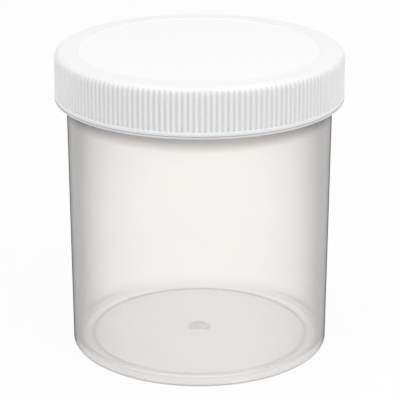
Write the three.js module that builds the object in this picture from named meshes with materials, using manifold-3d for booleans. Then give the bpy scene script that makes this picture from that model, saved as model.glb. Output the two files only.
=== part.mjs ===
// A wide-mouth jar with a screw cap: a moulded jar of natural polypropylene, a white ribbed cap and
// the thin soft disc, the liner, that the cap presses on the rim.
// Millimetres, +Z up. The origin is the middle of the foot, on the surface that the jar stands on.

import * as THREE from 'three';
import { mergeVertices } from 'three/addons/utils/BufferGeometryUtils.js';
import Module from 'manifold-3d';

// ---- Jar ----
const jarHeight = 96.4;             // foot to rim
const neckRadius = 42.55;           // outside of the wall at the neck
const wallDraft = 0.6;              // how much narrower the wall is at the foot, for the mould
const wallThickness = 1.5;
const floorThickness = 1.4;
const heelRound = 1.0;              // outer edge of the foot
const insideRound = 2.0;            // between the inside wall and the floor
const rimRound = 0.3;               // both edges of the rim
const neckLength = 10.6;            // straight, threaded top of the wall

// ---- Underside of the jar ----
const footRingWidth = 6.35;         // flat ring that the jar stands on
const footRecess = 0.95;            // the floor's height above that ring, at the ring's inner edge
const floorDome = 0.5;              // rise of the floor from the ring to the middle
const gateWellRadius = 2.6;         // round well around the moulding gate
const gateWellDepth = 0.7;
const gateNubRadius = 0.85;         // cut-off stub of the gate
const gateNubHeight = 0.4;

// ---- Screw thread, right-handed ----
const threadPitch = 5.08;
const threadHeight = 1.3;           // radial, on the neck and in the cap alike
const threadRootWidth = 1.9;
const threadCrestWidth = 0.9;
const threadClearance = 0.45;       // from a crest to the wall it faces
const flankClearance = 0.35;        // along the axis, between flanks that bear on each other
const neckLead = 1.6;               // plain stretch of the neck above its thread
const capLead = 1.0;                // plain stretch of the cap below its thread
const capHeadroom = 4.8;            // plain stretch of the cap between its thread and the liner
const threadRunOut = Math.PI / 10;  // angle in which each end of a thread rises to full height
const threadTip = 0.1;              // share of that height which its very end has

// ---- Liner ----
const linerThickness = 1.0;
const linerClearance = 0.45;        // from the liner's edge to the cap's bore

// ---- Cap ----
const capHeight = 15.7;
const panelThickness = 1.5;         // top panel, under its border ring
const skirtThickness = 1.3;        // from the bore to the bottom of the flutes
const ribDepth = 0.6;
const ribCount = 168;
const fluteBottomShare = 0.32;      // of the pitch of the ribs: the flat bottom of a flute
const fluteFlankShare = 0.18;       // of that pitch: each side of a flute
const beadProud = 0.15;             // the bead stands this far out past the ribs, and is rounded by it
const beadHeight = 2.0;             // cap's lower edge to the top of the bead
const lipHeight = 0.55;             // lip below the groove under the bead
const grooveHeight = 0.3;
const grooveDepth = 0.4;
const crownRound = 2.5;             // top edge of the cap
const discRadius = 38.8;            // sunk disc in the top panel
const discDepth = 0.3;
const discSlope = 0.4;              // width of the slope around the disc
const capNubRadius = 0.9;           // gate mark in the middle of the disc
const capNubHeight = 0.15;

// ---- Fineness ----
const jarSides = 60;
const capSides = 56;
const linerSides = 60;
const rootSink = 0.5;               // how far a thread's foot goes into the wall that carries it
const toothReach = 0.1;             // how far the flute cutter's teeth reach past the ribs
const cutOvershoot = 0.8;           // how far the rest of the cutter reaches past the cap

// ---- Derived ----
const capBore = neckRadius + threadHeight + threadClearance;
const fluteRadius = capBore + skirtThickness;
const ribRadius = fluteRadius + ribDepth;
const beadRadius = ribRadius + beadProud;
const panelUnderside = jarHeight + linerThickness;
const capTop = panelUnderside + panelThickness;
const capBottom = capTop - capHeight;
const neckBase = jarHeight - neckLength;
const footRadius = neckRadius - wallDraft;

const wasm = await Module();
wasm.setup();

// Points of a quarter round in a profile, from one tangent point to the other about a centre.
function arc(r, z, radius, fromDegrees, toDegrees, steps) {
  return Array.from({ length: steps + 1 }, (_, i) => {
    const angle = THREE.MathUtils.degToRad(fromDegrees + (toDegrees - fromDegrees) * i / steps);
    return [r + radius * Math.cos(angle), z + radius * Math.sin(angle)];
  });
}

// A profile of [radius, height] pairs turned about Z. It starts and ends on the axis.
function revolve(profile, sides) {
  const points = profile.map(([r, z]) => new THREE.Vector2(r, z));
  return new THREE.LatheGeometry(points, sides).rotateX(Math.PI / 2);
}

function toSolid(geometry) {
  const plain = geometry.clone();
  plain.deleteAttribute('normal');
  plain.deleteAttribute('uv');
  const merged = mergeVertices(plain, 1e-4);
  return new wasm.Manifold(new wasm.Mesh({
    numProp: 3,
    vertProperties: new Float32Array(merged.attributes.position.array),
    triVerts: new Uint32Array(merged.index.array),
  }));
}

function toGeometry(solid) {
  const mesh = solid.getMesh();
  const geometry = new THREE.BufferGeometry();
  geometry.setAttribute('position', new THREE.BufferAttribute(mesh.vertProperties, 3));
  geometry.setIndex(new THREE.BufferAttribute(mesh.triVerts, 1));
  geometry.computeVertexNormals();
  return geometry;
}

// The height of the neck thread's middle line at an angle. The cap's thread follows the same
// helix, lower by as much as keeps its upper flank just under the neck thread's lower flank.
const neckThreadLow = neckBase + threadRootWidth / 2;
const neckThreadHigh = jarHeight - neckLead - threadRootWidth / 2;
const capThreadLow = capBottom + capLead + threadRootWidth / 2;
const capThreadHigh = jarHeight - capHeadroom - threadRootWidth / 2;
const flankLean = (threadRootWidth - threadCrestWidth) / threadHeight;
const threadOffset = threadRootWidth - flankLean * (threadHeight + threadClearance) / 2 + flankClearance;

// A helical ridge from one height to another, as one closed body. It stands on the radius `foot`,
// towards `crest`, and its ends run out into the wall.
function threadRidge(foot, crest, lowZ, highZ, drop) {
  const turn = 2 * Math.PI;
  const angleAt = (z) => turn * (z + drop - neckThreadLow) / threadPitch;
  const first = angleAt(lowZ);
  const last = angleAt(highZ);
  const steps = Math.ceil((last - first) / (turn / jarSides));
  const sunkFoot = foot - Math.sign(crest - foot) * rootSink;
  const sunkWidth = threadRootWidth + flankLean * rootSink;
  const positions = [];
  for (let i = 0; i <= steps; i += 1) {
    const angle = first + (last - first) * i / steps;
    const z = lowZ + (highZ - lowZ) * i / steps;
    const rise = Math.min(1, threadTip + Math.min(angle - first, last - angle) / threadRunOut);
    const crestRadius = foot + (crest - foot) * rise;
    const section = [
      [sunkFoot, z - sunkWidth / 2],
      [crestRadius, z - threadCrestWidth / 2],
      [crestRadius, z + threadCrestWidth / 2],
      [sunkFoot, z + sunkWidth / 2],
    ];
    section.forEach(([r, height]) => {
      positions.push(r * Math.cos(angle), r * Math.sin(angle), height);
    });
  }
  const index = [];
  const outward = crest > foot;
  const face = (a, b, c) => index.push(...(outward ? [a, b, c] : [a, c, b]));
  for (let i = 0; i < steps; i += 1) {
    for (let k = 0; k < 4; k += 1) {
      const here = 4 * i + k;
      const beside = 4 * i + (k + 1) % 4;
      face(here, here + 4, beside);
      face(beside, here + 4, beside + 4);
    }
  }
  const end = 4 * steps;
  face(0, 1, 2);
  face(0, 2, 3);
  face(end, end + 2, end + 1);
  face(end, end + 3, end + 2);
  const geometry = new THREE.BufferGeometry();
  geometry.setAttribute('position', new THREE.Float32BufferAttribute(positions, 3));
  geometry.setIndex(index);
  return geometry;
}

// Jar: floor, foot ring, wall, neck and thread are one moulding.
function makeJar() {
  const ringInner = footRadius - footRingWidth;
  const boreFoot = footRadius - wallThickness;
  const boreNeck = neckRadius - wallThickness;
  const bossRadius = gateWellRadius + floorThickness;
  const under = (r) => footRecess + floorDome * (1 - (r / ringInner) ** 2);
  const over = (r) => footRecess + floorThickness + floorDome * Math.max(0, 1 - (r / ringInner) ** 2);
  const wellCeiling = under(gateWellRadius) + gateWellDepth;
  const halfway = (gateWellRadius + ringInner) / 2;
  const floorEdge = boreFoot - insideRound;
  const profile = [
    [0, wellCeiling - gateNubHeight],
    [gateNubRadius, wellCeiling - gateNubHeight],
    [gateNubRadius, wellCeiling],
    [gateWellRadius, wellCeiling],
    [gateWellRadius, under(gateWellRadius)],
    [halfway, under(halfway)],
    [ringInner, footRecess],
    [ringInner, 0],
    ...arc(footRadius - heelRound, heelRound, heelRound, -90, 0, 3),
    [neckRadius, neckBase],
    ...arc(neckRadius - rimRound, jarHeight - rimRound, rimRound, 0, 90, 1),
    ...arc(boreNeck + rimRound, jarHeight - rimRound, rimRound, 90, 180, 1),
    [boreNeck, neckBase],
    ...arc(floorEdge, over(floorEdge) + insideRound, insideRound, 0, -90, 3),
    [halfway, over(halfway)],
    [bossRadius, over(bossRadius)],
    [gateWellRadius, wellCeiling + floorThickness],
    [0, wellCeiling + floorThickness],
  ];
  const crest = neckRadius + threadHeight;
  const thread = threadRidge(neckRadius, crest, neckThreadLow, neckThreadHigh, 0);
  return toGeometry(toSolid(revolve(profile, jarSides)).add(toSolid(thread)));
}

// Liner: a disc of soft polyethylene, held between the rim and the cap's top panel.
function makeLiner() {
  const radius = capBore - linerClearance;
  return revolve([[0, jarHeight], [radius, jarHeight], [radius, panelUnderside], [0, panelUnderside]],
    linerSides);
}

// The space outside the ribs: a thick ring whose inner wall is toothed, from the bead upwards.
function makeFluteCutter() {
  const pitch = 2 * Math.PI / ribCount;
  const outside = ribRadius + toothReach;
  const bottom = pitch * fluteBottomShare / 2;
  const mouth = bottom + pitch * fluteFlankShare * (outside - fluteRadius) / ribDepth;
  const ring = new THREE.Shape();
  ring.absarc(0, 0, beadRadius + cutOvershoot, 0, 2 * Math.PI);
  const teeth = Array.from({ length: ribCount }, (_, i) => [
    [fluteRadius, -bottom], [fluteRadius, bottom], [outside, mouth], [outside, pitch - mouth],
  ].map(([r, angle]) => new THREE.Vector2(
    r * Math.cos(i * pitch + angle), r * Math.sin(i * pitch + angle)))).flat();
  ring.holes.push(new THREE.Path(teeth));
  const ledge = capBottom + beadHeight;
  const cutter = new THREE.ExtrudeGeometry(ring, {
    depth: capTop + cutOvershoot - ledge, bevelEnabled: false, curveSegments: capSides / 4,
  });
  return cutter.translate(0, 0, ledge);
}

// Cap: top panel, ribbed skirt, bead, groove, lip and inner thread are one moulding.
function makeCap() {
  const grooveRadius = beadRadius - grooveDepth;
  const grooveLow = capBottom + lipHeight;
  const ledge = capBottom + beadHeight;
  const profile = [
    [0, panelUnderside],
    [capBore, panelUnderside],
    [capBore, capBottom],
    [beadRadius, capBottom],
    [beadRadius, grooveLow],
    [grooveRadius, grooveLow],
    [grooveRadius, grooveLow + grooveHeight],
    [beadRadius, grooveLow + grooveHeight],
    ...arc(ribRadius, ledge - beadProud, beadProud, 0, 90, 1),
    ...arc(ribRadius - crownRound, capTop - crownRound, crownRound, 0, 90, 4),
    [discRadius, capTop],
    [discRadius - discSlope, capTop - discDepth],
    [capNubRadius, capTop - discDepth],
    [0, capTop - discDepth + capNubHeight],
  ];
  const crest = capBore - threadHeight;
  const thread = threadRidge(capBore, crest, capThreadLow, capThreadHigh, threadOffset);
  const shell = toSolid(revolve(profile, capSides)).subtract(toSolid(makeFluteCutter()));
  return toGeometry(shell.add(toSolid(thread)));
}

const naturalPolypropylene = new THREE.MeshStandardMaterial({
  color: 0xe9e5e0, roughness: 0.35, metalness: 0, transparent: true, opacity: 0.55,
});
const whitePlastic = new THREE.MeshStandardMaterial({ color: 0xf1f1f1, roughness: 0.42, metalness: 0 });
const softPolyethylene = new THREE.MeshStandardMaterial({
  color: 0xf4f4f2, roughness: 0.6, metalness: 0,
});

function named(name, geometry, material) {
  const mesh = new THREE.Mesh(geometry, material);
  mesh.name = name;
  return mesh;
}

const jarWithCap = new THREE.Group();
jarWithCap.add(named('jar', makeJar(), naturalPolypropylene));
jarWithCap.add(named('liner', makeLiner(), softPolyethylene));
jarWithCap.add(named('cap', makeCap(), whitePlastic));

export default jarWithCap;
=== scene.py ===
# %% [markdown]
# # A wide-mouth screw-cap jar
#
# The object is a wide-mouth jar of unpigmented polypropylene, closed by a white ribbed screw cap
# over a thin soft liner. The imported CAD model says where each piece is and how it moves. This file
# builds the fine surfaces that replace the plain solids, gives them their finishes, and adds a pale
# floor, soft light and a camera.
#
# Everything here is in metres, in the CAD model's own frame: the jar stands on z = 0 with its axis
# on Z. Sizes are written in millimetres, times `mm`, because that is how a moulder thinks of them.

# %% Load the frame
import math

import bpy
import bmesh
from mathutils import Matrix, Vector


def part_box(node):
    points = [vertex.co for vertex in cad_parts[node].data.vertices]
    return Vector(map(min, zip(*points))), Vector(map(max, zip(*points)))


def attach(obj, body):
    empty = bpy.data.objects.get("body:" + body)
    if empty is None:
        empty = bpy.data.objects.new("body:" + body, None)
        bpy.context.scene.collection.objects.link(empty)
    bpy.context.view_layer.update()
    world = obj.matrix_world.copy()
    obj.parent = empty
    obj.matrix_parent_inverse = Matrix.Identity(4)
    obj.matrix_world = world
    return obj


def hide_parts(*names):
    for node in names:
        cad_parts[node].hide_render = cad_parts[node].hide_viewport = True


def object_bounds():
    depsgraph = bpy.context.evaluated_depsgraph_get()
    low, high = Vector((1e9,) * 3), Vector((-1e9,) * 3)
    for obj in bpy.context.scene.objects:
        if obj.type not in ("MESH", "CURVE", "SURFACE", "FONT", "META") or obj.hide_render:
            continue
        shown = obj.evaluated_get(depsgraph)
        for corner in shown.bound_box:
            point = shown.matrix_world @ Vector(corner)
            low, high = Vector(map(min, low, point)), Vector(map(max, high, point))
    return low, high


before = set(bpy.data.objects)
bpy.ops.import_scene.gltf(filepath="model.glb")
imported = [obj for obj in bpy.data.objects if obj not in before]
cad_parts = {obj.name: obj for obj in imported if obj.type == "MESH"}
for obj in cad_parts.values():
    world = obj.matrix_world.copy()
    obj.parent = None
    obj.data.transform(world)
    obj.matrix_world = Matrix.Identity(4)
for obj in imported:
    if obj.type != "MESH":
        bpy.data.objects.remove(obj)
cad_low, cad_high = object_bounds()
mm = 0.001
print("nodes:", sorted(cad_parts))
print("size in mm:", [round(side / mm, 2) for side in cad_high - cad_low])

# %% [markdown]
# ## Sizes
#
# The heights and the widest radii come from the CAD nodes, so the fine surfaces land exactly where
# the solids are. The smaller features, such as the ribs and the thread, repeat the CAD model's own
# values. Reading what can be read is safer than typing it twice: if the model is made taller, this
# scene follows.

# %% Sizes
rim_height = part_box("jar")[1].z
liner_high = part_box("liner")[1]
cap_low, cap_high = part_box("cap")

panel_underside = liner_high.z
cap_bottom = cap_low.z
cap_top = cap_high.z
bead_radius = cap_high.x
liner_radius = liner_high.x

thread_pitch = 5.08 * mm
thread_height = 1.3 * mm
thread_root_width = 1.9 * mm
thread_crest_width = 0.9 * mm
thread_clearance = 0.45 * mm
thread_run_out = math.pi / 10
neck_length = 10.6 * mm
neck_lead = 1.6 * mm
cap_lead = 1.0 * mm
cap_headroom = 4.8 * mm

liner_clearance = 0.45 * mm
cap_bore = liner_radius + liner_clearance
neck_radius = cap_bore - thread_clearance - thread_height
wall_draft = 0.6 * mm
wall_thickness = 1.5 * mm
floor_thickness = 1.4 * mm
foot_radius = neck_radius - wall_draft
neck_base = rim_height - neck_length
hair_gap = 0.02 * mm

print("neck radius in mm:", round(neck_radius / mm, 2))
print("cap bore in mm:", round(cap_bore / mm, 2))

# %% [markdown]
# ## Outlines with rounded corners
#
# Every piece of this jar is turned: it is one outline swept about the Z axis. An outline is easiest
# to write as its corners, each with the radius that a mould maker would give it. `rounded` swaps
# each corner for an arc. It also leaves a guide point a little beyond each end of an arc. Smooth
# shading averages the normals of the faces at a point, and the guide points keep that averaging
# inside a narrow strip, so the broad flat faces stay flat to the eye.

# %% Outline helpers
guide_distance = 0.25 * mm
arc_steps = 6


def turned(vector, angle):
    """A 2-D vector turned clockwise by an angle, which is how Vector.angle_signed counts."""
    cosine, sine = math.cos(angle), math.sin(angle)
    return Vector((vector.x * cosine + vector.y * sine, vector.y * cosine - vector.x * sine))


def rounded(corners, steps=arc_steps):
    """Corners (r, z, round) become points, with an arc in place of each round corner."""
    places = [Vector((r, z)) for r, z, _ in corners]
    points = [places[0]]
    for before, here, after, corner in zip(places, places[1:], places[2:], corners[1:-1]):
        radius = corner[2]
        back = (before - here).normalized()
        ahead = (after - here).normalized()
        half_angle = back.angle(ahead) / 2
        if radius == 0:
            points.append(here)
            continue
        reach = radius / math.tan(half_angle)
        centre = here + (back + ahead).normalized() * radius / math.sin(half_angle)
        start = here + back * reach - centre
        sweep = start.angle_signed(here + ahead * reach - centre)
        arc = [centre + turned(start, sweep * i / steps) for i in range(steps + 1)]
        if (points[-1] - arc[0]).length > 2 * guide_distance:
            points.append(arc[0] + back * guide_distance)
        points.extend(arc)
        if (after - arc[-1]).length > 3 * guide_distance:
            points.append(arc[-1] + ahead * guide_distance)
    points.append(places[-1])
    return points


def evenly(low, high, spacing):
    """Values from low to high, about one spacing apart."""
    count = max(1, round(abs(high - low) / spacing))
    return [low + (high - low) * i / count for i in range(count + 1)]


sample = rounded([(0, 0, 0), (4 * mm, 0, 1 * mm), (4 * mm, 4 * mm, 0)], 2)
print("a corner rounded by 1 mm:", [(round(p.x / mm, 2), round(p.y / mm, 2)) for p in sample])

# %% [markdown]
# ## One tree turns every piece
#
# A lathe, a screw and a knurl can be one Geometry Nodes tree. It takes an outline and builds a
# grid with one row for each point of the outline and one column for each step round the axis. Each
# grid point looks up its outline point, then three rules shape its radius:
#
# 1. Plain rows keep the outline's radius, which turns the piece.
# 2. Ribbed rows are cut back to the flutes between the ribs, wherever the outline stands out
#    further than a flute's bottom. The flutes then run out by themselves in the rounded crown.
# 3. Threaded rows rise or sink by the thread's section, measured along the axis from the nearest
#    pass of the helix.
#
# The outline carries three attributes for each point: `ribbed`, `threaded` and `stride`. A stride
# of 4 makes four columns fall on one another, so that a ribbed skirt can have fine columns and a
# plain panel coarse ones in the same closed surface. Merge by Distance then closes the seam and
# the poles, and drops the doubled columns. Screw and Array modifiers could turn and repeat a
# piece too, but they can't run flutes out into a round or a thread into a wall.
#
# Such a tree has many small nodes, so a few helpers come first. Each makes one kind of node, feeds
# it with outputs or plain numbers, and returns its output.

# %% Node helpers


def feed(tree, socket, value):
    """Links an output to a socket, or sets the socket to a plain value."""
    if isinstance(value, bpy.types.NodeSocket):
        tree.links.new(value, socket)
    else:
        socket.default_value = value


def maths(tree, operation, *values):
    """A Math node of either kind of tree, fed with outputs or numbers."""
    node = tree.nodes.new("ShaderNodeMath")
    node.operation = operation
    for socket, value in zip(node.inputs, values):
        feed(tree, socket, value)
    return node.outputs["Value"]


def eased(tree, value, low, high):
    """0 where value is low, 1 where it is high, and a smooth step between them."""
    node = tree.nodes.new("ShaderNodeMapRange")
    node.interpolation_type = "SMOOTHSTEP"
    feed(tree, node.inputs["Value"], value)
    feed(tree, node.inputs["From Min"], low)
    feed(tree, node.inputs["From Max"], high)
    return node.outputs["Result"]


def whole(tree, operation, first, second):
    """An Integer Math node."""
    node = tree.nodes.new("FunctionNodeIntegerMath")
    node.operation = operation
    feed(tree, node.inputs[0], first)
    feed(tree, node.inputs[1], second)
    return node.outputs["Value"]


def looked_up(tree, geometry, row, name, kind):
    """The value of a named attribute at one point of the outline."""
    attribute = tree.nodes.new("GeometryNodeInputNamedAttribute")
    attribute.data_type = kind
    attribute.inputs["Name"].default_value = name
    sample = tree.nodes.new("GeometryNodeSampleIndex")
    sample.data_type = kind
    feed(tree, sample.inputs["Geometry"], geometry)
    feed(tree, sample.inputs["Value"], attribute.outputs["Attribute"])
    feed(tree, sample.inputs["Index"], row)
    return sample.outputs["Value"]


print("helpers ready")

# %% [markdown]
# The tree's inputs are the sizes a moulder would ask for. Lengths are real lengths, so the same
# tree makes the jar, the cap and the liner, each with its own values. The defaults only fill
# inputs that a piece doesn't need: a liner has neither ribs nor a thread.

# %% Named inputs of the tree
tree_inputs = {
    "Columns": ("NodeSocketInt", 240),
    "Rib Count": ("NodeSocketInt", 168),
    "Rib Radius": ("NodeSocketFloat", 1.0),
    "Rib Depth": ("NodeSocketFloat", 0.0),
    "Flute Bottom": ("NodeSocketFloat", 0.3),
    "Flute Mouth": ("NodeSocketFloat", 0.7),
    "Thread Height": ("NodeSocketFloat", 0.0),
    "Thread Start": ("NodeSocketFloat", 0.0),
    "Thread Pitch": ("NodeSocketFloat", 1.0),
    "Thread Turns": ("NodeSocketFloat", 1.0),
    "Root Width": ("NodeSocketFloat", 1.0),
    "Crest Width": ("NodeSocketFloat", 0.5),
    "Run Out": ("NodeSocketFloat", 0.3),
    "Material": ("NodeSocketMaterial", None),
}


def tree_with_inputs():
    """A tree with its sockets only. Returns it with the identifier of each named input."""
    tree = bpy.data.node_groups.new("turned moulding", "GeometryNodeTree")
    tree.interface.new_socket(name="Outline", in_out="INPUT", socket_type="NodeSocketGeometry")
    identifiers = {}
    for name, (kind, default) in tree_inputs.items():
        socket = tree.interface.new_socket(name=name, in_out="INPUT", socket_type=kind)
        identifiers[name] = socket.identifier
        if default is not None:
            socket.default_value = default
    tree.interface.new_socket(name="Moulding", in_out="OUTPUT", socket_type="NodeSocketGeometry")
    return tree, identifiers


print("named inputs:", len(tree_inputs))

# %% [markdown]
# Two of the rules take some reckoning. The first cuts flutes: it counts the ribs' pitches round the
# axis, and how far a column is from the nearest flute's middle decides how deep it is cut. The
# second raises the thread: it counts turns up the axis, finds the nearest pass of the helix, and
# eases from the thread's root to its crest. At both ends the thread runs out over a part of a turn.
# The ease starts a tenth of that part before the end, so the tip still stands a little proud.

# %% Rules for the radius
run_out_start = -0.1


def fluted_radius(tree, radius, angle, ribbed, sizes):
    """The radius, cut back to the flute's surface where a row is ribbed."""
    pitches = maths(tree, "MULTIPLY", angle, maths(tree, "DIVIDE", sizes["Rib Count"], math.tau))
    off_middle = maths(tree, "SUBTRACT", pitches, maths(tree, "ROUND", pitches))
    from_flute = maths(tree, "ABSOLUTE", off_middle)
    bottom = maths(tree, "MULTIPLY", sizes["Flute Bottom"], 0.5)
    mouth = maths(tree, "MULTIPLY", sizes["Flute Mouth"], 0.5)
    full = eased(tree, from_flute, bottom, mouth)
    depth = maths(tree, "MULTIPLY", sizes["Rib Depth"], maths(tree, "SUBTRACT", 1.0, full))
    flute = maths(tree, "SUBTRACT", sizes["Rib Radius"], depth)
    proud = maths(tree, "MAXIMUM", maths(tree, "SUBTRACT", radius, flute), 0.0)
    return maths(tree, "SUBTRACT", radius, maths(tree, "MULTIPLY", proud, ribbed))


def thread_rise(tree, angle, height, sizes):
    """How far the thread stands out at an angle and a height."""
    turns_up = maths(tree, "DIVIDE", maths(tree, "SUBTRACT", height, sizes["Thread Start"]),
                     sizes["Thread Pitch"])
    part_turn = maths(tree, "DIVIDE", angle, math.tau)
    nearest = maths(tree, "ROUND", maths(tree, "SUBTRACT", turns_up, part_turn))
    turns = maths(tree, "ADD", part_turn, nearest)
    to_end = maths(tree, "MINIMUM", turns, maths(tree, "SUBTRACT", sizes["Thread Turns"], turns))
    run_out = maths(tree, "DIVIDE", sizes["Run Out"], math.tau)
    present = eased(tree, to_end, maths(tree, "MULTIPLY", run_out, run_out_start), run_out)
    off_turns = maths(tree, "ABSOLUTE", maths(tree, "SUBTRACT", turns_up, turns))
    off = maths(tree, "MULTIPLY", off_turns, sizes["Thread Pitch"])
    root = maths(tree, "MULTIPLY", sizes["Root Width"], 0.5)
    crest = maths(tree, "MULTIPLY", sizes["Crest Width"], 0.5)
    section = eased(tree, off, root, crest)
    share_of_height = maths(tree, "MULTIPLY", section, present)
    return maths(tree, "MULTIPLY", share_of_height, sizes["Thread Height"])


print("rules ready")

# %% [markdown]
# The tree itself joins them. It moves each point of the flat grid to its place round the axis,
# merges what falls together, and ends in Realize Instances and Set Material, so that the result is
# one plain mesh with its finish.

# %% The tree of a turned moulding
merge_distance = 1e-6


def outline_grid(tree, outline, columns):
    """The flat grid of columns and rows, and each grid point's row and column."""
    size = tree.nodes.new("GeometryNodeAttributeDomainSize")
    feed(tree, size.inputs["Geometry"], outline)
    rows = size.outputs["Point Count"]
    grid = tree.nodes.new("GeometryNodeMeshGrid")
    feed(tree, grid.inputs["Vertices X"], whole(tree, "ADD", columns, 1))
    feed(tree, grid.inputs["Vertices Y"], rows)
    index = tree.nodes.new("GeometryNodeInputIndex").outputs["Index"]
    row = whole(tree, "MODULO", index, rows)
    column = whole(tree, "DIVIDE_FLOOR", index, rows)
    return grid.outputs["Mesh"], row, column


def turned_moulding_tree():
    """Builds the tree once. Returns it with the identifier of each named input."""
    tree, identifiers = tree_with_inputs()
    given = tree.nodes.new("NodeGroupInput").outputs
    sizes = {name: given[name] for name in tree_inputs}
    outline = given["Outline"]
    grid, row, column = outline_grid(tree, outline, sizes["Columns"])

    stride = looked_up(tree, outline, row, "stride", "INT")
    kept_column = whole(tree, "MULTIPLY", whole(tree, "DIVIDE_FLOOR", column, stride), stride)
    angle = maths(tree, "MULTIPLY", maths(tree, "DIVIDE", kept_column, sizes["Columns"]), math.tau)

    place = tree.nodes.new("ShaderNodeSeparateXYZ")
    feed(tree, place.inputs[0], looked_up(tree, outline, row, "position", "FLOAT_VECTOR"))
    radius, height = place.outputs["X"], place.outputs["Z"]
    ribbed = looked_up(tree, outline, row, "ribbed", "FLOAT")
    threaded = looked_up(tree, outline, row, "threaded", "FLOAT")
    radius = fluted_radius(tree, radius, angle, ribbed, sizes)
    rise = maths(tree, "MULTIPLY", thread_rise(tree, angle, height, sizes), threaded)
    radius = maths(tree, "ADD", radius, rise)

    position = tree.nodes.new("ShaderNodeCombineXYZ")
    feed(tree, position.inputs["X"], maths(tree, "MULTIPLY", radius, maths(tree, "COSINE", angle)))
    feed(tree, position.inputs["Y"], maths(tree, "MULTIPLY", radius, maths(tree, "SINE", angle)))
    feed(tree, position.inputs["Z"], height)

    moved = tree.nodes.new("GeometryNodeSetPosition")
    feed(tree, moved.inputs["Geometry"], grid)
    feed(tree, moved.inputs["Position"], position.outputs["Vector"])
    merged = tree.nodes.new("GeometryNodeMergeByDistance")
    feed(tree, merged.inputs["Geometry"], moved.outputs["Geometry"])
    merged.inputs["Distance"].default_value = merge_distance
    realized = tree.nodes.new("GeometryNodeRealizeInstances")
    feed(tree, realized.inputs["Geometry"], merged.outputs["Geometry"])
    finished = tree.nodes.new("GeometryNodeSetMaterial")
    feed(tree, finished.inputs["Geometry"], realized.outputs["Geometry"])
    feed(tree, finished.inputs["Material"], sizes["Material"])
    feed(tree, tree.nodes.new("NodeGroupOutput").inputs["Moulding"], finished.outputs["Geometry"])
    return tree, identifiers


moulding_tree, moulding_inputs = turned_moulding_tree()
print("tree:", moulding_tree.name, "with", len(moulding_tree.nodes), "nodes")

# %% [markdown]
# `turn` runs the tree. It makes a mesh of the outline's points with their attributes, sets each
# input by its identifier before the first evaluation, and copies the evaluated result into a plain
# mesh. The modifier's object is then deleted. A turned shape can come out with its faces pointing
# in, so the normals of the closed result are recalculated before anything else uses them.
#
# A row of an outline is (r, z, ribbed, threaded, stride). The table says at which place in the row
# an attribute stands, and of which kind it is.

# %% Turn an outline into a closed mesh
row_attributes = {"ribbed": (2, "FLOAT"), "threaded": (3, "FLOAT"), "stride": (4, "INT")}
smooth_angle = math.radians(32)
shortest_edge = 1e-7


def turn(name, outline, sizes):
    """Runs the tree on an outline's rows. Returns a plain mesh object."""
    blank = bpy.data.meshes.new("outline of " + name)
    points = [(r, 0, z) for r, z, *_ in outline]
    edges = [(i, i + 1) for i in range(len(points) - 1)]
    blank.from_pydata(points, edges, [])
    for attribute, (place, kind) in row_attributes.items():
        layer = blank.attributes.new(attribute, kind, "POINT")
        layer.data.foreach_set("value", [row[place] for row in outline])

    maker = bpy.data.objects.new("maker of " + name, blank)
    bpy.context.scene.collection.objects.link(maker)
    modifier = maker.modifiers.new("turned moulding", "NODES")
    modifier.node_group = moulding_tree
    for size, value in sizes.items():
        modifier[moulding_inputs[size]] = value
    evaluated = maker.evaluated_get(bpy.context.evaluated_depsgraph_get())
    mesh = bpy.data.meshes.new_from_object(evaluated)
    mesh.name = name
    bpy.data.objects.remove(maker)

    shaped = bmesh.new()
    shaped.from_mesh(mesh)
    bmesh.ops.dissolve_degenerate(shaped, dist=shortest_edge, edges=shaped.edges)
    bmesh.ops.recalc_face_normals(shaped, faces=shaped.faces)
    open_edges = sum(not edge.is_manifold for edge in shaped.edges)
    cubic_cm = shaped.calc_volume(signed=True) / (10 * mm) ** 3
    triangles = sum(len(face.verts) - 2 for face in shaped.faces)
    shaped.to_mesh(mesh)
    shaped.free()
    mesh.shade_smooth()
    mesh.set_sharp_from_angle(angle=smooth_angle)

    piece = bpy.data.objects.new(name, mesh)
    bpy.context.scene.collection.objects.link(piece)
    print(f"{name}: {triangles} triangles, {cubic_cm:.2f} cm3, {open_edges} open edges")
    return piece


def plain_rows(points, stride=1):
    """Rows that are neither ribbed nor threaded."""
    return [(r, z, 0.0, 0.0, stride) for r, z in points]


print("smooth up to", round(math.degrees(smooth_angle)), "degrees")

# %% [markdown]
# ## The jar
#
# The jar is one injection moulding: a floor, a foot ring, a drafted wall, and a straight neck with
# a right-handed thread. Its outline goes from the gate's stub under the floor, out over the foot
# ring, up the outside, over the rim and back down the inside to the middle of the floor. The floor
# is slightly domed, and a small well keeps the gate's stub off the bench. Only the neck's outside
# needs closely spaced rows, since the thread's section is sampled there.

# %% Sizes of the jar's foot and rim
foot_ring_width = 6.35 * mm
foot_recess = 0.95 * mm
floor_dome = 0.5 * mm
gate_well_radius = 2.6 * mm
gate_well_depth = 0.7 * mm
gate_nub_radius = 0.85 * mm
gate_nub_height = 0.4 * mm

nub_round = 0.15 * mm
nub_foot_round = 0.1 * mm
well_round = 0.25 * mm
well_mouth_round = 0.15 * mm
ring_step_round = 0.4 * mm
ring_round = 0.3 * mm
heel_round = 1.0 * mm
rim_round = 0.3 * mm
inside_round = 2.0 * mm
boss_round = 3.0 * mm

dome_row_spacing = 4.0 * mm
dome_margin = 1.0 * mm
thread_row_spacing = 0.15 * mm
neck_row_margin = 0.05 * mm
spare_neck_rows = 0.4 * mm
first_neck_row = neck_base + neck_row_margin
last_neck_row = rim_height - neck_lead + spare_neck_rows
ring_inner = foot_radius - foot_ring_width
boss_radius = gate_well_radius + floor_thickness


def dome(r):
    """How far the floor rises at a radius, from its ring to the middle."""
    return floor_dome * max(0.0, 1 - (r / ring_inner) ** 2)


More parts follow.
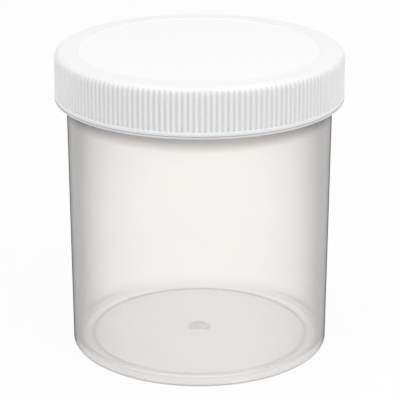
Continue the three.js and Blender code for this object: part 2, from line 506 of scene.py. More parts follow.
well_ceiling = foot_recess + dome(gate_well_radius) + gate_well_depth
inside_floor = foot_recess + floor_thickness
flat_ring = (ring_inner, foot_radius - heel_round)
print("flat foot ring in mm:", [round(r / mm, 2) for r in flat_ring])

# %% [markdown]
# The outline is written in three stretches. The underside and the outside wall are plain, the neck
# is threaded, and the rim and the inside are plain again. Where the underside has a well, the
# inside has a boss, so the floor keeps its thickness.

# %% The jar's outline


def jar_outside():
    """Points from the gate's stub, over the foot ring and up to the neck."""
    under_corners = [(0, well_ceiling - gate_nub_height, 0),
                     (gate_nub_radius, well_ceiling - gate_nub_height, nub_round),
                     (gate_nub_radius, well_ceiling, nub_foot_round),
                     (gate_well_radius, well_ceiling, well_round),
                     (gate_well_radius, foot_recess + dome(gate_well_radius), well_mouth_round)]
    domed_radii = evenly(gate_well_radius + dome_margin, ring_inner - dome_margin, dome_row_spacing)
    domed = [(r, foot_recess + dome(r), 0) for r in domed_radii]
    foot_corners = [(ring_inner, foot_recess, ring_step_round),
                    (ring_inner, 0, ring_round),
                    (foot_radius, 0, heel_round),
                    (neck_radius, neck_base, 0)]
    return rounded(under_corners + domed + foot_corners)


def jar_inside(neck_top):
    """Points from the top of the threaded rows, over the rim and down to the floor's middle."""
    bore_foot = foot_radius - wall_thickness
    bore_neck = neck_radius - wall_thickness
    rim_corners = [(neck_radius, neck_top, 0),
                   (neck_radius, rim_height, rim_round),
                   (bore_neck, rim_height, rim_round),
                   (bore_neck, neck_base, 0),
                   (bore_foot, inside_floor, inside_round)]
    domed_radii = evenly(ring_inner, boss_radius + 2 * dome_margin, dome_row_spacing)
    domed = [(r, inside_floor + dome(r), 0) for r in domed_radii]
    boss_corners = [(boss_radius, inside_floor + dome(gate_well_radius), boss_round),
                    (gate_well_radius, well_ceiling + floor_thickness, boss_round),
                    (0, well_ceiling + floor_thickness, 0)]
    return rounded(rim_corners + domed + boss_corners)


def jar_outline():
    """Rows of the whole jar."""
    neck_heights = evenly(first_neck_row, last_neck_row, thread_row_spacing)
    threaded = [(neck_radius, z, 0.0, 1.0, 1) for z in neck_heights]
    inside = jar_inside(neck_heights[-1])[1:]
    return plain_rows(jar_outside()) + threaded + plain_rows(inside)


print("rows in the jar's outline:", len(jar_outline()))

# %% [markdown]
# ## The cap
#
# The cap is one moulding too. From below, its outside is a thin lip, a fine groove, a smooth bead,
# the skirt with 168 fine ribs, a rounded crown, a flat border ring and a disc sunk a little into
# it. Its bore carries the matching thread, which follows the same helix a little lower, so the
# flanks meet with a running clearance. The ribbed rows and the bead's edge below them use every
# column, eight to a rib, and the rest use one column in four.

# %% Sizes of the cap
rib_count = 168
columns_per_rib = 8
coarse = 4
rib_depth = 0.6 * mm
bead_proud = 0.15 * mm
bead_height = 2.0 * mm
lip_height = 0.55 * mm
groove_height = 0.3 * mm
groove_depth = 0.4 * mm
crown_round = 2.5 * mm
crown_steps = 14
disc_radius = 38.8 * mm
disc_depth = 0.3 * mm
disc_slope = 0.4 * mm
cap_nub_radius = 0.9 * mm
cap_nub_height = 0.15 * mm

panel_corner_round = 0.4 * mm
hem_inner_round = 0.25 * mm
hem_outer_round = 0.2 * mm
groove_mouth_round = 0.1 * mm
groove_round = 0.08 * mm
bead_foot_round = 0.05 * mm
bead_foot_set_back = 0.1 * mm
bead_slope_height = 0.5 * mm
bead_slope_round = 0.3 * mm
disc_round = 0.3 * mm
cap_nub_round = 0.1 * mm

spare_thread_rows = 0.2 * mm
rib_radius = bead_radius - bead_proud
bead_top = cap_bottom + bead_height
groove_radius = bead_radius - groove_depth
groove_low = cap_bottom + lip_height
groove_high = groove_low + groove_height
cap_thread_top = rim_height - cap_headroom + spare_thread_rows
cap_thread_foot = cap_bottom + cap_lead - spare_thread_rows
print("ribs:", rib_count, "at radius in mm:", round(rib_radius / mm, 2))

# %% [markdown]
# The cap's outline starts under the middle of the panel, goes out and down the bore, round the hem
# and the bead, up the ribs and over the crown to the middle of the disc. The crown's quarter circle
# is written out by itself, because its rows are ribbed: the flutes run out in it.

# %% The cap's outline


def cap_hem():
    """Points round the cap's lower edge, its groove, and the side of the bead."""
    below_bead_top = (bead_radius, bead_top - 2 * bead_proud, 0)
    hem = rounded([(cap_bore, cap_thread_foot, 0),
                   (cap_bore, cap_bottom, hem_inner_round),
                   (bead_radius, cap_bottom, hem_outer_round),
                   (bead_radius, groove_low, groove_mouth_round),
                   (groove_radius, groove_low, groove_round),
                   (groove_radius, groove_high, groove_round),
                   (bead_radius - bead_foot_set_back, groove_high, bead_foot_round),
                   (bead_radius, groove_high + bead_slope_height, bead_slope_round),
                   below_bead_top])
    bead = rounded([below_bead_top, (bead_radius, bead_top, bead_proud), (rib_radius, bead_top, 0)])
    return hem, bead


def cap_skirt():
    """Points up the ribs and over the crown."""
    centre_of_round = Vector((rib_radius - crown_round, cap_top - crown_round))
    quarter = [i / crown_steps * math.pi / 2 for i in range(crown_steps + 1)]
    crown = [centre_of_round + crown_round * Vector((math.cos(a), math.sin(a))) for a in quarter]
    upright = [(rib_radius, bead_top), (rib_radius, bead_top + bead_proud),
               (rib_radius, centre_of_round.y - guide_distance)]
    return upright + [tuple(point) for point in crown]


def cap_panel(edge):
    """Points from the crown's inner edge over the border ring and the sunk disc to the middle."""
    disc_height = cap_top - disc_depth
    return rounded([(*edge, 0),
                    (disc_radius, cap_top, disc_round),
                    (disc_radius - disc_slope, disc_height, disc_round),
                    (cap_nub_radius, disc_height, cap_nub_round),
                    (cap_nub_radius - cap_nub_height, disc_height + cap_nub_height, cap_nub_round),
                    (0, disc_height + cap_nub_height, 0)])


def cap_outline():
    """Rows of the whole cap."""
    inside_top = rounded([(0, panel_underside, 0),
                          (cap_bore, panel_underside, panel_corner_round),
                          (cap_bore, cap_thread_top, 0)])
    bore_heights = evenly(cap_thread_top, cap_thread_foot, thread_row_spacing)
    threaded = [(cap_bore, z, 0.0, -1.0, coarse) for z in bore_heights]
    hem, bead = cap_hem()
    skirt = cap_skirt()
    ribbed = [(r, z, 1.0, 0.0, 1) for r, z in skirt]
    return (plain_rows(inside_top, coarse)[:-1] + threaded + plain_rows(hem, coarse)[1:]
            + plain_rows(bead) + ribbed + plain_rows(cap_panel(skirt[-1]), coarse)[1:])


print("rows in the cap's outline:", len(cap_outline()))

# %% [markdown]
# ## The liner
#
# The liner is a thin disc of soft polyethylene that the cap's panel presses on the rim. It is cut
# from sheet, so its edges are only slightly eased. A hair's gap to the rim and to the panel keeps
# faces from lying exactly on one another, where a renderer couldn't tell which one is in front.

# %% The liner's outline
liner_round = 0.12 * mm
liner_arc_steps = 3


def liner_outline():
    """Rows of the liner."""
    low = rim_height + hair_gap
    high = panel_underside - hair_gap
    corners = [(0, low, 0), (liner_radius, low, liner_round),
               (liner_radius, high, liner_round), (0, high, 0)]
    return plain_rows(rounded(corners, liner_arc_steps))


print("rows in the liner's outline:", len(liner_outline()))

# %% [markdown]
# ## Finishes
#
# All three pieces are injection moulded or cut plastic, so they share one effect: a skin that is
# never perfectly even. It is built once as a shader group called "moulded skin". From Object
# coordinates it makes a broad, cloudy tone, a fine grain in the roughness, and a height for the
# Bump node. The group gives out only values, and each material keeps its own Principled shader.

# %% The moulded skin, shared by the three finishes
cloud_detail = 2.0
grain_detail = 1.0
middle_of_noise = 0.5


def shader_group(name, inputs, outputs):
    """An empty shader group with number inputs (name, default) and number outputs."""
    group = bpy.data.node_groups.new(name, "ShaderNodeTree")
    kind = "NodeSocketFloat"
    for label, default in inputs:
        socket = group.interface.new_socket(name=label, in_out="INPUT", socket_type=kind)
        socket.default_value = default
    for label in outputs:
        group.interface.new_socket(name=label, in_out="OUTPUT", socket_type=kind)
    given = group.nodes.new("NodeGroupInput").outputs
    result = group.nodes.new("NodeGroupOutput").inputs
    return group, given, result


def uneven(tree, coordinates, scale, detail):
    """A noise value around 0."""
    node = tree.nodes.new("ShaderNodeTexNoise")
    feed(tree, node.inputs["Vector"], coordinates)
    feed(tree, node.inputs["Scale"], scale)
    node.inputs["Detail"].default_value = detail
    return maths(tree, "SUBTRACT", node.outputs["Fac"], middle_of_noise)


def moulded_skin_group():
    """The group's values: a tone around 1, a roughness, and a height around 0."""
    group, given, result = shader_group(
        "moulded skin",
        [("Cloud Scale", 60.0), ("Cloud Depth", 0.02), ("Grain Scale", 1800.0),
         ("Roughness", 0.3), ("Roughness Spread", 0.1)],
        ["Tone", "Roughness", "Height"])
    place = group.nodes.new("ShaderNodeTexCoord").outputs["Object"]
    cloud = uneven(group, place, given["Cloud Scale"], cloud_detail)
    grain = uneven(group, place, given["Grain Scale"], grain_detail)
    feed(group, result["Tone"], maths(group, "MULTIPLY_ADD", cloud, given["Cloud Depth"], 1.0))
    both = maths(group, "ADD", cloud, grain)
    feed(group, result["Roughness"],
         maths(group, "MULTIPLY_ADD", both, given["Roughness Spread"], given["Roughness"]))
    feed(group, result["Height"], grain)
    return group


moulded_skin = moulded_skin_group()
print("group:", moulded_skin.name)

# %% [markdown]
# A second group marks a round spot on the axis: 1 inside a radius, 0 outside, with a soft edge. The
# cap uses it for its matt disc and its flutes, and the jar for everything that is round on its
# floor.

# %% A round spot, shared by the jar and the cap


def round_spot_group():
    """The group's value: 1 up to the radius less the edge, and 0 from the radius on."""
    group, given, result = shader_group("round spot", [("Radius", 0.01), ("Edge", 0.001)], ["Mask"])
    place = group.nodes.new("ShaderNodeSeparateXYZ")
    feed(group, place.inputs[0], group.nodes.new("ShaderNodeTexCoord").outputs["Object"])
    x, y = place.outputs["X"], place.outputs["Y"]
    away = maths(group, "SQRT", maths(group, "ADD", maths(group, "MULTIPLY", x, x),
                                      maths(group, "MULTIPLY", y, y)))
    inner = maths(group, "SUBTRACT", given["Radius"], given["Edge"])
    feed(group, result["Mask"], eased(group, away, given["Radius"], inner))
    return group


round_spot = round_spot_group()
print("group:", round_spot.name)

# %% [markdown]
# A finish reads best as a list of steps, such as "darken the colour where the panel is". Each step
# is a node or two, so it gets a helper with a plain name. Colours are mixed and toned. Masks are
# numbers from 0 to 1: their product is 1 only where all of them are, and 1 less a mask is its
# opposite.

# %% Helpers for colours
mix_first, mix_second, mix_result = 6, 7, 2
black = (0.0, 0.0, 0.0)


def new_material(name):
    """A material with only a Principled shader. Returns the material, its tree and the shader."""
    material = bpy.data.materials.new(name)
    material.use_nodes = True
    return material, material.node_tree, material.node_tree.nodes["Principled BSDF"]


def placed(tree, group, **values):
    """A group placed in a material, with its inputs set. Underscores stand for spaces."""
    node = tree.nodes.new("ShaderNodeGroup")
    node.node_tree = group
    for label, value in values.items():
        feed(tree, node.inputs[label.replace("_", " ")], value)
    return node.outputs


def feed_colour(tree, socket, colour):
    """Feeds a colour socket with an output or a plain (r, g, b)."""
    feed(tree, socket, colour if isinstance(colour, bpy.types.NodeSocket) else (*colour, 1.0))


def mixed(tree, share, first, second):
    """The first colour with a share of the second mixed in."""
    node = tree.nodes.new("ShaderNodeMix")
    node.data_type = "RGBA"
    feed(tree, node.inputs["Factor"], share)
    feed_colour(tree, node.inputs[mix_first], first)
    feed_colour(tree, node.inputs[mix_second], second)
    return node.outputs[mix_result]


def toned(tree, colour, tone):
    """A colour times a value."""
    node = tree.nodes.new("ShaderNodeMix")
    node.data_type = "RGBA"
    node.blend_type = "MULTIPLY"
    node.inputs["Factor"].default_value = 1.0
    feed_colour(tree, node.inputs[mix_first], colour)
    feed(tree, node.inputs[mix_second], tone)
    return node.outputs[mix_result]


def darkened(tree, colour, share):
    """A colour with a share of black mixed in."""
    return mixed(tree, share, colour, black)


print("colour helpers ready")

# %% Helpers for masks


def product(tree, *factors):
    """All the factors multiplied together."""
    result = factors[0]
    for factor in factors[1:]:
        result = maths(tree, "MULTIPLY", result, factor)
    return result


def opposite(tree, mask):
    """0 where the mask is 1, and 1 where it is 0."""
    return maths(tree, "SUBTRACT", 1.0, mask)


def spot_mask(tree, radius, edge):
    """1 nearer to the axis than a radius, 0 beyond it."""
    return placed(tree, round_spot, Radius=radius, Edge=edge)["Mask"]


def object_height(tree):
    """The height in the piece's own coordinates, which move with the piece."""
    place = tree.nodes.new("ShaderNodeSeparateXYZ")
    feed(tree, place.inputs[0], tree.nodes.new("ShaderNodeTexCoord").outputs["Object"])
    return place.outputs["Z"]


def bumped(tree, shader, height, distance):
    """Feeds the shader's normal from a height."""
    node = tree.nodes.new("ShaderNodeBump")
    node.inputs["Strength"].default_value = 1.0
    node.inputs["Distance"].default_value = distance
    feed(tree, node.inputs["Height"], height)
    feed(tree, shader.inputs["Normal"], node.outputs["Normal"])


print("mask helpers ready")

# %% [markdown]
# ## Natural polypropylene
#
# Unpigmented polypropylene is clear and milky at once. Some light goes straight through, some is
# scattered by tiny crystals. Two shaders share the work:
#
# - **clear** is a transmission with a little roughness. What lies close behind it, like the foot
#   ring at the front, stays sharp, and what lies far behind it goes soft.
# - **milk** is a plain diffuse surface. It lies on the outward skin only, so that a ray through the
#   whole jar meets it once on the near wall, and not again on each inner surface.
#
# The first masks tell the parts of the foot apart. It shows three things: a panel with a fine matt
# texture, the round line where the foot ring begins, and the gate mark in the middle. The panel is
# darker by painted shade of the table under the recess, and its matt texture only blurs. The line
# is painted shade of the ring's step, crisp at the step, with a haze that spreads outwards over the
# ring. A painted texture could hold all that, but masks that are worked out from the sizes follow
# the shape by themselves.
#
# A spot is written as the radius where it ends and the width of its soft edge. A step is written as
# the height where it is 0 and the height where it is 1.

# %% Masks for the foot
panel_spot = (ring_inner, 0.2 * mm)
inside_line_spot = (ring_inner - 0.3 * mm, 0.7 * mm)
line_spot = (ring_inner + 0.6 * mm, 0.2 * mm)
haze_spot = (ring_inner + 4.0 * mm, 3.8 * mm)
haze_share = 0.55
gate_spot = (gate_well_radius + 0.1 * mm, 1.1 * mm)
boss_spot = (gate_well_radius + 1.8 * mm, 0.5 * mm)

underside_step = (foot_recess + 0.7 * mm, foot_recess + 0.5 * mm)
boss_step = (foot_recess + 0.9 * mm, foot_recess + 1.1 * mm)
boss_top_step = (foot_recess + 2.0 * mm, foot_recess + 2.2 * mm)


def foot_masks(tree, height):
    """The matt panel, the line around it, the gate mark, and the boss over the gate's well."""
    underside = eased(tree, height, *underside_step)
    # The line and its haze are painted shade of the ring's step.
    inside_line = spot_mask(tree, *inside_line_spot)
    crisp = maths(tree, "SUBTRACT", spot_mask(tree, *line_spot), inside_line)
    haze = maths(tree, "SUBTRACT", spot_mask(tree, *haze_spot), inside_line)
    line = maths(tree, "MAXIMUM", crisp, product(tree, haze, haze_share))
    return {
        "panel": product(tree, spot_mask(tree, *panel_spot), underside),
        "line": product(tree, line, underside),
        "gate": product(tree, spot_mask(tree, *gate_spot), eased(tree, height, *boss_top_step)),
        "boss": product(tree, spot_mask(tree, *boss_spot), eased(tree, height, *boss_step)),
    }


print("masks of the foot: panel, line, gate and boss")

# %% [markdown]
# Where a wall is seen edge on, it turns grey. A ray there crosses more plastic, but absorption in
# the volume is too even on a wall this thin to give much grey. Most of it is painted shade, for the
# dark surroundings at the sides that a clear wall shows edge on. Layer Weight paints it into both
# shaders, on upright surfaces only.
#
# The outward skin is where the normal looks away from the axis and the ray comes from outside. The
# shade close under the cap's lip comes from an Ambient Occlusion node that looks up and out. It
# measures what really overhangs the wall, so the shade goes when the cap is lifted.

# %% Masks for the wall
even_blend = 0.5
upright_power = 2.0
away_from_axis = (50.0, 50.0, 0.0)
straight_up = (0.0, 0.0, 1.0)
cover_reach = 6.2 * mm
cover_samples = 16
cover_step = (0.94, 0.6)


def seen_edge_on(tree, coordinates):
    """How far a surface is turned away, and a mask of how upright the surface is."""
    normal = tree.nodes.new("ShaderNodeSeparateXYZ")
    feed(tree, normal.inputs[0], coordinates["Normal"])
    flat = product(tree, normal.outputs["Z"], normal.outputs["Z"])
    facing = tree.nodes.new("ShaderNodeLayerWeight")
    facing.inputs["Blend"].default_value = even_blend
    return facing.outputs["Facing"], maths(tree, "POWER", opposite(tree, flat), upright_power)


def outward_skin(tree, coordinates, geometry):
    """1 where the surface looks away from the jar's axis and the ray comes from outside."""
    sideways = tree.nodes.new("ShaderNodeVectorMath")
    sideways.operation = "MULTIPLY"
    feed(tree, sideways.inputs[0], coordinates["Object"])
    sideways.inputs[1].default_value = away_from_axis
    outward = tree.nodes.new("ShaderNodeVectorMath")
    outward.operation = "DOT_PRODUCT"
    feed(tree, outward.inputs[0], coordinates["Normal"])
    feed(tree, outward.inputs[1], sideways.outputs[0])
    outer = maths(tree, "MINIMUM", maths(tree, "MAXIMUM", outward.outputs["Value"], 0.0), 1.0)
    return product(tree, outer, opposite(tree, geometry["Backfacing"]))


def cover_shade(tree, geometry):
    """1 close under something that overhangs the surface, and 0 in the open."""
    upwards = tree.nodes.new("ShaderNodeVectorMath")
    feed(tree, upwards.inputs[0], geometry["Normal"])
    upwards.inputs[1].default_value = straight_up
    open_sky = tree.nodes.new("ShaderNodeAmbientOcclusion")
    open_sky.samples = cover_samples
    open_sky.inputs["Distance"].default_value = cover_reach
    feed(tree, open_sky.inputs["Normal"], upwards.outputs[0])
    return eased(tree, open_sky.outputs["AO"], *cover_step)


print("the lip's shade reaches, in mm:", round(cover_reach / mm, 1))

# %% [markdown]
# All the masks are gathered once for each material, so both shaders share their nodes. Five more
# steps go by height. The heel is the rounded lowest edge, and painted shade makes it a little
# darker. The corner is where wall and floor meet inside. The foot is the thick plastic of the floor
# and the corner. The shade under the cap counts only high up, because near the foot the table would
# shade the wall too. Towards the neck the painted edge shade comes in sooner, so the wall turns
# grey sooner there.

# %% All the masks of the jar
heel_step = (1.1 * mm, 0.7 * mm)
corner_step = (4.7 * mm, 4.2 * mm)
foot_step = (3.9 * mm, 3.0 * mm)
high_up_step = (10.0 * mm, 20.0 * mm)
towards_neck_step = (30.0 * mm, 84.0 * mm)
inside_corner_spot = (foot_radius - wall_thickness - 1.5 * mm, 1.0 * mm)


def jar_masks(tree):
    """All the masks of the jar's plastic, by name."""
    coordinates = tree.nodes.new("ShaderNodeTexCoord").outputs
    geometry = tree.nodes.new("ShaderNodeNewGeometry").outputs
    height = object_height(tree)
    turned_away, upright = seen_edge_on(tree, coordinates)
    outer = outward_skin(tree, coordinates, geometry)
    high_up = eased(tree, height, *high_up_step)
    beyond_floor = opposite(tree, spot_mask(tree, *inside_corner_spot))
    low = eased(tree, height, *corner_step)
    return {
        **foot_masks(tree, height),
        "turned away": turned_away,
        "upright": upright,
        "outer": outer,
        "under cap": product(tree, cover_shade(tree, geometry), outer, high_up),
        "towards neck": eased(tree, height, *towards_neck_step),
        "heel": product(tree, eased(tree, height, *heel_step), outer),
        "corner": product(tree, beyond_floor, low, opposite(tree, outer)),
        "foot": eased(tree, height, *foot_step),
    }


low_steps = {"heel": heel_step, "corner": corner_step, "foot": foot_step}
for label, (zero_at, one_at) in low_steps.items():
    print(label, "step from", round(zero_at / mm, 1), "to", round(one_at / mm, 1), "mm")

# %% [markdown]
# The clear shader is nearly white. It goes grey where the wall is seen edge on, which is painted
# shade, and a share of black is mixed in under each mask. The matt panel, the boss over the gate's
# well and the inside corner blur what lies behind them, so they add to the roughness.

# %% The clear share
clear_tint = (0.994, 0.971, 0.954)
painted_edge_shade = (0.01, 0.01, 0.01)
edge_power = 2.5
edge_strength = 2.45
part_turned_power = 1.5
# The heel's share, here and in the milk, is painted shade under the rounded lowest edge.
# The panel's share is painted shade of the table under the recess, and the line's share is painted
# shade of the ring's step.
clear_darkening = {"panel": 0.43, "line": 0.95, "gate": 0.33, "under cap": 0.66, "heel": 0.18}
clear_blurs = {"panel": 0.2, "boss": 0.45, "corner": 0.35}
plastic_ior = 1.49


def darkened_by(tree, colour, mask, shares):
    """A colour with each mask's share of black mixed in."""
    for name, share in shares.items():
        colour = darkened(tree, colour, product(tree, mask[name], share))
    return colour


def clear_colour(tree, mask):
    """What the clear shader lets through."""
    turned_away = mask["turned away"]
    part_turned = product(tree, maths(tree, "POWER", turned_away, part_turned_power),
                          opposite(tree, turned_away), mask["towards neck"])
    # The grey for a wall seen edge on is painted shade.
    steep = maths(tree, "POWER", turned_away, edge_power)
    edge_on = maths(tree, "MULTIPLY_ADD", steep, edge_strength, part_turned)
    edge_on = maths(tree, "MINIMUM", product(tree, edge_on, mask["upright"]), 1.0)
    return darkened_by(tree, mixed(tree, edge_on, clear_tint, painted_edge_shade), mask, clear_darkening)


def clear_roughness(tree, mask, skin):
    """The skin's roughness, with the strongest blur added to it."""
    strongest = 0.0
    for name, blur in clear_blurs.items():
        strongest = maths(tree, "MAXIMUM", strongest, product(tree, mask[name], blur))
    return maths(tree, "ADD", skin["Roughness"], strongest)


print("shares of black on the clear share:", clear_darkening)

# %% [markdown]
# The milk is paler than the light that comes through. It darkens only close to the outline, under
# the cap and at the heel, and each of these is painted shade. Its share is a little under a half
# on the wall. The thick corner of the foot scatters more light than the wall, so it gets a larger
# share of milk. The rim of the outline gets more milk too, which carries the painted edge shade.

# %% The milky share
milk_tint = (0.975, 0.955, 0.939)
milk_edge_power = 4.5
milk_edge_strength = 1.2
# The heel's share is painted shade under the rounded lowest edge.
milk_darkening = {"under cap": 0.55, "heel": 0.18}
milk_roughness = 0.35
grain_height = 0.02 * mm
wall_milk = 0.45
more_milk_at_foot = 0.4
rim_milk_power = 4.0
more_milk_at_rim = 0.7


def milk_shader(tree, mask, skin):
    """The diffuse shader of the milky share."""
    milk = tree.nodes.new("ShaderNodeBsdfPrincipled")
    # The milk's grey close to the outline is painted shade.
    steep = maths(tree, "POWER", mask["turned away"], milk_edge_power)
    edge_on = product(tree, steep, mask["upright"], milk_edge_strength)
    colour = darkened(tree, milk_tint, maths(tree, "MINIMUM", edge_on, 1.0))
    colour = darkened_by(tree, colour, mask, milk_darkening)
    feed(tree, milk.inputs["Base Color"], toned(tree, colour, skin["Tone"]))
    milk.inputs["Roughness"].default_value = milk_roughness
    milk.inputs["Specular IOR Level"].default_value = 0.0
    bumped(tree, milk, skin["Height"], grain_height)
    return milk


def milk_share(tree, mask):
    """How much of the outward skin is milk."""
    share = maths(tree, "MULTIPLY_ADD", mask["foot"], more_milk_at_foot, wall_milk)
    # The extra milk at the rim carries the painted edge shade.
    rim = product(tree, maths(tree, "POWER", mask["turned away"], rim_milk_power), mask["upright"])
    share = maths(tree, "MINIMUM", maths(tree, "MULTIPLY_ADD", rim, more_milk_at_rim, share), 1.0)
    return product(tree, mask["outer"], share)


print("share of milk on the wall:", wall_milk)
print("share of milk at the foot:", round(wall_milk + more_milk_at_foot, 2))

# %% [markdown]
# Last, a Mix Shader puts the milk over the clear plastic by its share. The clear shader keeps a
# plain Transmission Weight of 1, so the glass stays glass wherever the share is 0.

# %% Natural polypropylene


def natural_polypropylene():
    """The jar's finish: clear plastic with milk over it."""
    material, tree, clear = new_material("natural polypropylene")
    skin = placed(tree, moulded_skin, Cloud_Scale=45.0, Cloud_Depth=0.03, Grain_Scale=2500.0,
                  Roughness=0.03, Roughness_Spread=0.01)
    mask = jar_masks(tree)
    feed(tree, clear.inputs["Base Color"], toned(tree, clear_colour(tree, mask), skin["Tone"]))
    feed(tree, clear.inputs["Roughness"], clear_roughness(tree, mask, skin))
    clear.inputs["IOR"].default_value = plastic_ior
    clear.inputs["Transmission Weight"].default_value = 1.0

    milk = milk_shader(tree, mask, skin)
    both = tree.nodes.new("ShaderNodeMixShader")
    feed(tree, both.inputs["Fac"], milk_share(tree, mask))
    feed(tree, both.inputs[1], clear.outputs["BSDF"])
    feed(tree, both.inputs[2], milk.outputs["BSDF"])
    feed(tree, tree.nodes["Material Output"].inputs["Surface"], both.outputs["Shader"])
    return material


natural_plastic = natural_polypropylene()
print("finish:", natural_plastic.name, "with", len(natural_plastic.node_tree.nodes), "nodes")

# %% [markdown]
# ## White plastic
#
# The cap is opaque and satin. Its sunk disc is spark eroded in the mould to a fine matt, so that a
# label holds on it, and the border ring and the ribs are smoother. Only the roughness and a slight
# change of tone tell them apart. The bottoms of the flutes and the thin lip under the bead are a
# little darker, which is painted shade: in the hollows of the flutes, and on the lip below the
# groove and the bead.

# %% White plastic
border_white = (0.86, 0.86, 0.865)
disc_white = (0.90, 0.90, 0.90)
matt_spot = (disc_radius - disc_slope / 2, 0.3 * mm)
flute_spot = (rib_radius - 0.3 * mm, 0.25 * mm)
crown_step = (cap_top - 1.2 * mm, cap_top - crown_round)
lip_step = (groove_high + 0.1 * mm, groove_high - 0.05 * mm)
painted_flute_shade = 0.09
painted_lip_shade = 0.18
matt_roughness = 0.14
white_grain_height = 0.012 * mm
white_ior = 1.5


def white_plastic():
    """The cap's finish: opaque and satin, with a matt disc on top."""
    material, tree, shader = new_material("white plastic")
    skin = placed(tree, moulded_skin, Cloud_Scale=35.0, Cloud_Depth=0.015, Grain_Scale=3500.0,
                  Roughness=0.36, Roughness_Spread=0.08)
    height = object_height(tree)
    matt = spot_mask(tree, *matt_spot)
    flutes = product(tree, spot_mask(tree, *flute_spot), eased(tree, height, *crown_step))
    lip = eased(tree, height, *lip_step)
    colour = mixed(tree, matt, border_white, disc_white)
    # Painted shade in the bottoms of the flutes and on the lip under the bead.
    colour = darkened(tree, colour, product(tree, flutes, painted_flute_shade))
    colour = darkened(tree, colour, product(tree, lip, painted_lip_shade))
    feed(tree, shader.inputs["Base Color"], toned(tree, colour, skin["Tone"]))
    rougher = maths(tree, "MULTIPLY_ADD", matt, matt_roughness, skin["Roughness"])
    feed(tree, shader.inputs["Roughness"], rougher)
    bumped(tree, shader, skin["Height"], white_grain_height)
    shader.inputs["IOR"].default_value = white_ior
    return material


white_satin = white_plastic()
print("finish:", white_satin.name)

# %% [markdown]
# ## Soft polyethylene
#
# The liner is milky and matt. Light goes a little way into it and comes out again, which subsurface
# scattering gives at the scale of its own thickness.

# %% Soft polyethylene
liner_white = (0.86, 0.86, 0.85)
scatter_share = 0.3
scatter_by_colour = (1.0, 0.95, 0.9)
scatter_depth = 0.8 * mm


def soft_polyethylene():
    """The liner's finish: matt, with some light scattered inside it."""
    material, tree, shader = new_material("soft polyethylene")
    skin = placed(tree, moulded_skin, Cloud_Scale=80.0, Cloud_Depth=0.03, Grain_Scale=1500.0,
                  Roughness=0.5, Roughness_Spread=0.12)
    feed(tree, shader.inputs["Base Color"], toned(tree, liner_white, skin["Tone"]))
    feed(tree, shader.inputs["Roughness"], skin["Roughness"])
    bumped(tree, shader, skin["Height"], grain_height)
    shader.inputs["Subsurface Weight"].default_value = scatter_share
    shader.inputs["Subsurface Radius"].default_value = scatter_by_colour
    shader.inputs["Subsurface Scale"].default_value = scatter_depth
    return material


milky_plastic = soft_polyethylene()
print("finish:", milky_plastic.name)

# %% [markdown]
# ## Make the three pieces
#
# Each piece is turned, given its finish by the tree, and parented to the body it moves with. Its
# CAD node is hidden, and the CAD solids stay in the scene.
#
# Both threads start at the same angle, and the cap's starts lower. Their difference in height is
# what keeps the flanks apart.

# %% Turn the pieces
jar_columns = 288
liner_columns = 240
flute_bottom_share = 0.25
flute_mouth_share = 0.75
thread = {
    "Thread Height": thread_height,
    "Thread Pitch": thread_pitch,
    "Root Width": thread_root_width,
    "Crest Width": thread_crest_width,
    "Run Out": thread_run_out,
}
neck_thread_low = neck_base + thread_root_width / 2
neck_thread_high = rim_height - neck_lead - thread_root_width / 2
cap_thread_low = cap_bottom + cap_lead + thread_root_width / 2
cap_thread_high = rim_height - cap_headroom - thread_root_width / 2

jar = turn("jar_body", jar_outline(), {
    "Columns": jar_columns,
    **thread,
    "Thread Start": neck_thread_low,
    "Thread Turns": (neck_thread_high - neck_thread_low) / thread_pitch,
    "Material": natural_plastic,
})
cap = turn("screw_cap", cap_outline(), {
    "Columns": rib_count * columns_per_rib,
    "Rib Count": rib_count,
    "Rib Radius": rib_radius,
    "Rib Depth": rib_depth,
    "Flute Bottom": flute_bottom_share,
    "Flute Mouth": flute_mouth_share,
    **thread,
    "Thread Start": cap_thread_low,
    "Thread Turns": (cap_thread_high - cap_thread_low) / thread_pitch,
    "Material": white_satin,
})
liner = turn("cap_liner", liner_outline(), {"Columns": liner_columns, "Material": milky_plastic})

# %% Replace the solids and ride on the bodies
for piece, node, body, slot in (
    (jar, "jar", "jar", "natural_polypropylene"),
    (liner, "liner", "liner", "soft_polyethylene"),
    (cap, "cap", "cap", "white_plastic"),
):
    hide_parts(node)
    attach(piece, body)
    print(piece.name, "stands for", node, "and rides on", body)

# %% [markdown]
# ## The camera
#
# A long lens from far away keeps the jar's sides nearly parallel. The camera looks down by about
# twenty degrees, which shows the top of the cap and, through the wall, the floor. Blender counts a
# lens and a sensor in millimetres, and a shift as a share of the sensor's width.

# %% Camera
centre = (cad_low + cad_high) / 2
camera_distance = 595.9 * mm
camera_height = math.radians(19.875)
look_at_share = 0.48
look_at = Vector((centre.x, centre.y, cad_low.z + look_at_share * (cad_high.z - cad_low.z)))
camera_data = bpy.data.cameras.new("camera")
camera_data.sensor_width = 36
camera_data.lens = 163.9
camera_data.shift_x = 0.0014
camera = bpy.data.objects.new("camera", camera_data)
backwards = Vector((0, -math.cos(camera_height), math.sin(camera_height)))
camera.location = look_at + camera_distance * backwards
camera.rotation_euler = (math.pi / 2 - camera_height, 0, 0)
bpy.context.scene.collection.objects.link(camera)
bpy.context.scene.camera = camera
print("camera at mm:", [round(c / mm, 1) for c in camera.location])

# %% [markdown]
# ## The room
#
# The set is a white table under a soft light. The world is white to the camera and in glass and
# gloss, and a little dimmer as a light. Light Path tells these rays apart. A brighter light would
# whiten the background too, but it would also wash out the object.

# %% World
world = bpy.data.worlds.new("white room")
bpy.context.scene.world = world
world.use_nodes = True
sky = world.node_tree
background = sky.nodes["Background"]
background.inputs["Color"].default_value = (1.0, 1.0, 1.0, 1.0)


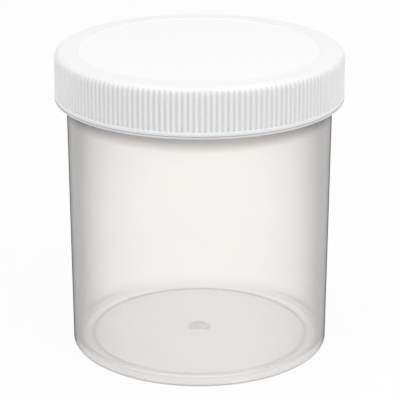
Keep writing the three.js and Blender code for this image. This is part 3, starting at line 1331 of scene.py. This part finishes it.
def seen_directly(tree):
    """1 for camera, glossy and transmission rays, and 0 for the rest."""
    path = tree.nodes.new("ShaderNodeLightPath").outputs
    seen = maths(tree, "MAXIMUM", path["Is Camera Ray"], path["Is Glossy Ray"])
    return maths(tree, "MAXIMUM", seen, path["Is Transmission Ray"])


room_light = 0.58
feed(sky, background.inputs["Strength"],
     maths(sky, "MULTIPLY_ADD", seen_directly(sky), 1.0 - room_light, room_light))
print("room light:", room_light)

# %% [markdown]
# The table is a wide disc, a hair below the foot. It is an ordinary pale surface that keeps the
# jar's shadow. For the rays that show a background, most of it is plain white, so it blends with
# the world and only a trace of the shadow stays.

# %% Floor
floor_radius = 0.9
floor_sides = 96
floor_colour = (0.8, 0.8, 0.8, 1.0)
floor_roughness = 0.8
floor_gloss = 0.1
floor_white_share = 0.93

floor_mesh = bpy.data.meshes.new("studio_floor")
disc = bmesh.new()
bmesh.ops.create_circle(disc, cap_ends=True, segments=floor_sides, radius=floor_radius)
bmesh.ops.translate(disc, verts=disc.verts, vec=(0, 0, -hair_gap))
disc.to_mesh(floor_mesh)
disc.free()
studio_floor = bpy.data.objects.new("studio_floor", floor_mesh)
bpy.context.scene.collection.objects.link(studio_floor)

floor_material, floor_tree, floor_shader = new_material("pale table")
floor_shader.inputs["Base Color"].default_value = floor_colour
floor_shader.inputs["Roughness"].default_value = floor_roughness
floor_shader.inputs["Specular IOR Level"].default_value = floor_gloss
glow = floor_tree.nodes.new("ShaderNodeEmission")
blend = floor_tree.nodes.new("ShaderNodeMixShader")
feed(floor_tree, blend.inputs["Fac"],
     maths(floor_tree, "MULTIPLY", seen_directly(floor_tree), floor_white_share))
feed(floor_tree, blend.inputs[1], floor_shader.outputs["BSDF"])
feed(floor_tree, blend.inputs[2], glow.outputs["Emission"])
feed(floor_tree, floor_tree.nodes["Material Output"].inputs["Surface"], blend.outputs["Shader"])
floor_mesh.materials.append(floor_material)
print("floor radius:", floor_radius)

# %% [markdown]
# Three large area lamps light the object: one overhead, and one to each side in front. The right
# one is a little stronger, which gives the cap and the wall their slight slope of tone. Places and
# sizes are in metres and powers in watts.

# %% Light
bpy.context.scene.view_settings.view_transform = "Standard"
lamps = {
    "overhead softbox": {"place": (0.0, 0.15, 1.0), "size": 0.8, "power": 1.05},
    "right softbox": {"place": (0.62, -0.52, 0.85), "size": 0.6, "power": 4.1},
    "left softbox": {"place": (-0.62, -0.52, 0.85), "size": 0.6, "power": 3.1},
}


def soft_lamp(name, place, size, power):
    """A large square area lamp aimed at the middle of the object."""
    data = bpy.data.lights.new(name, "AREA")
    data.size = size
    data.energy = power
    lamp = bpy.data.objects.new(name, data)
    lamp.location = place
    lamp.rotation_euler = (centre - Vector(place)).to_track_quat("-Z", "Y").to_euler()
    bpy.context.scene.collection.objects.link(lamp)


for name, values in lamps.items():
    soft_lamp(name, **values)
    print(name, "of", values["power"], "W")
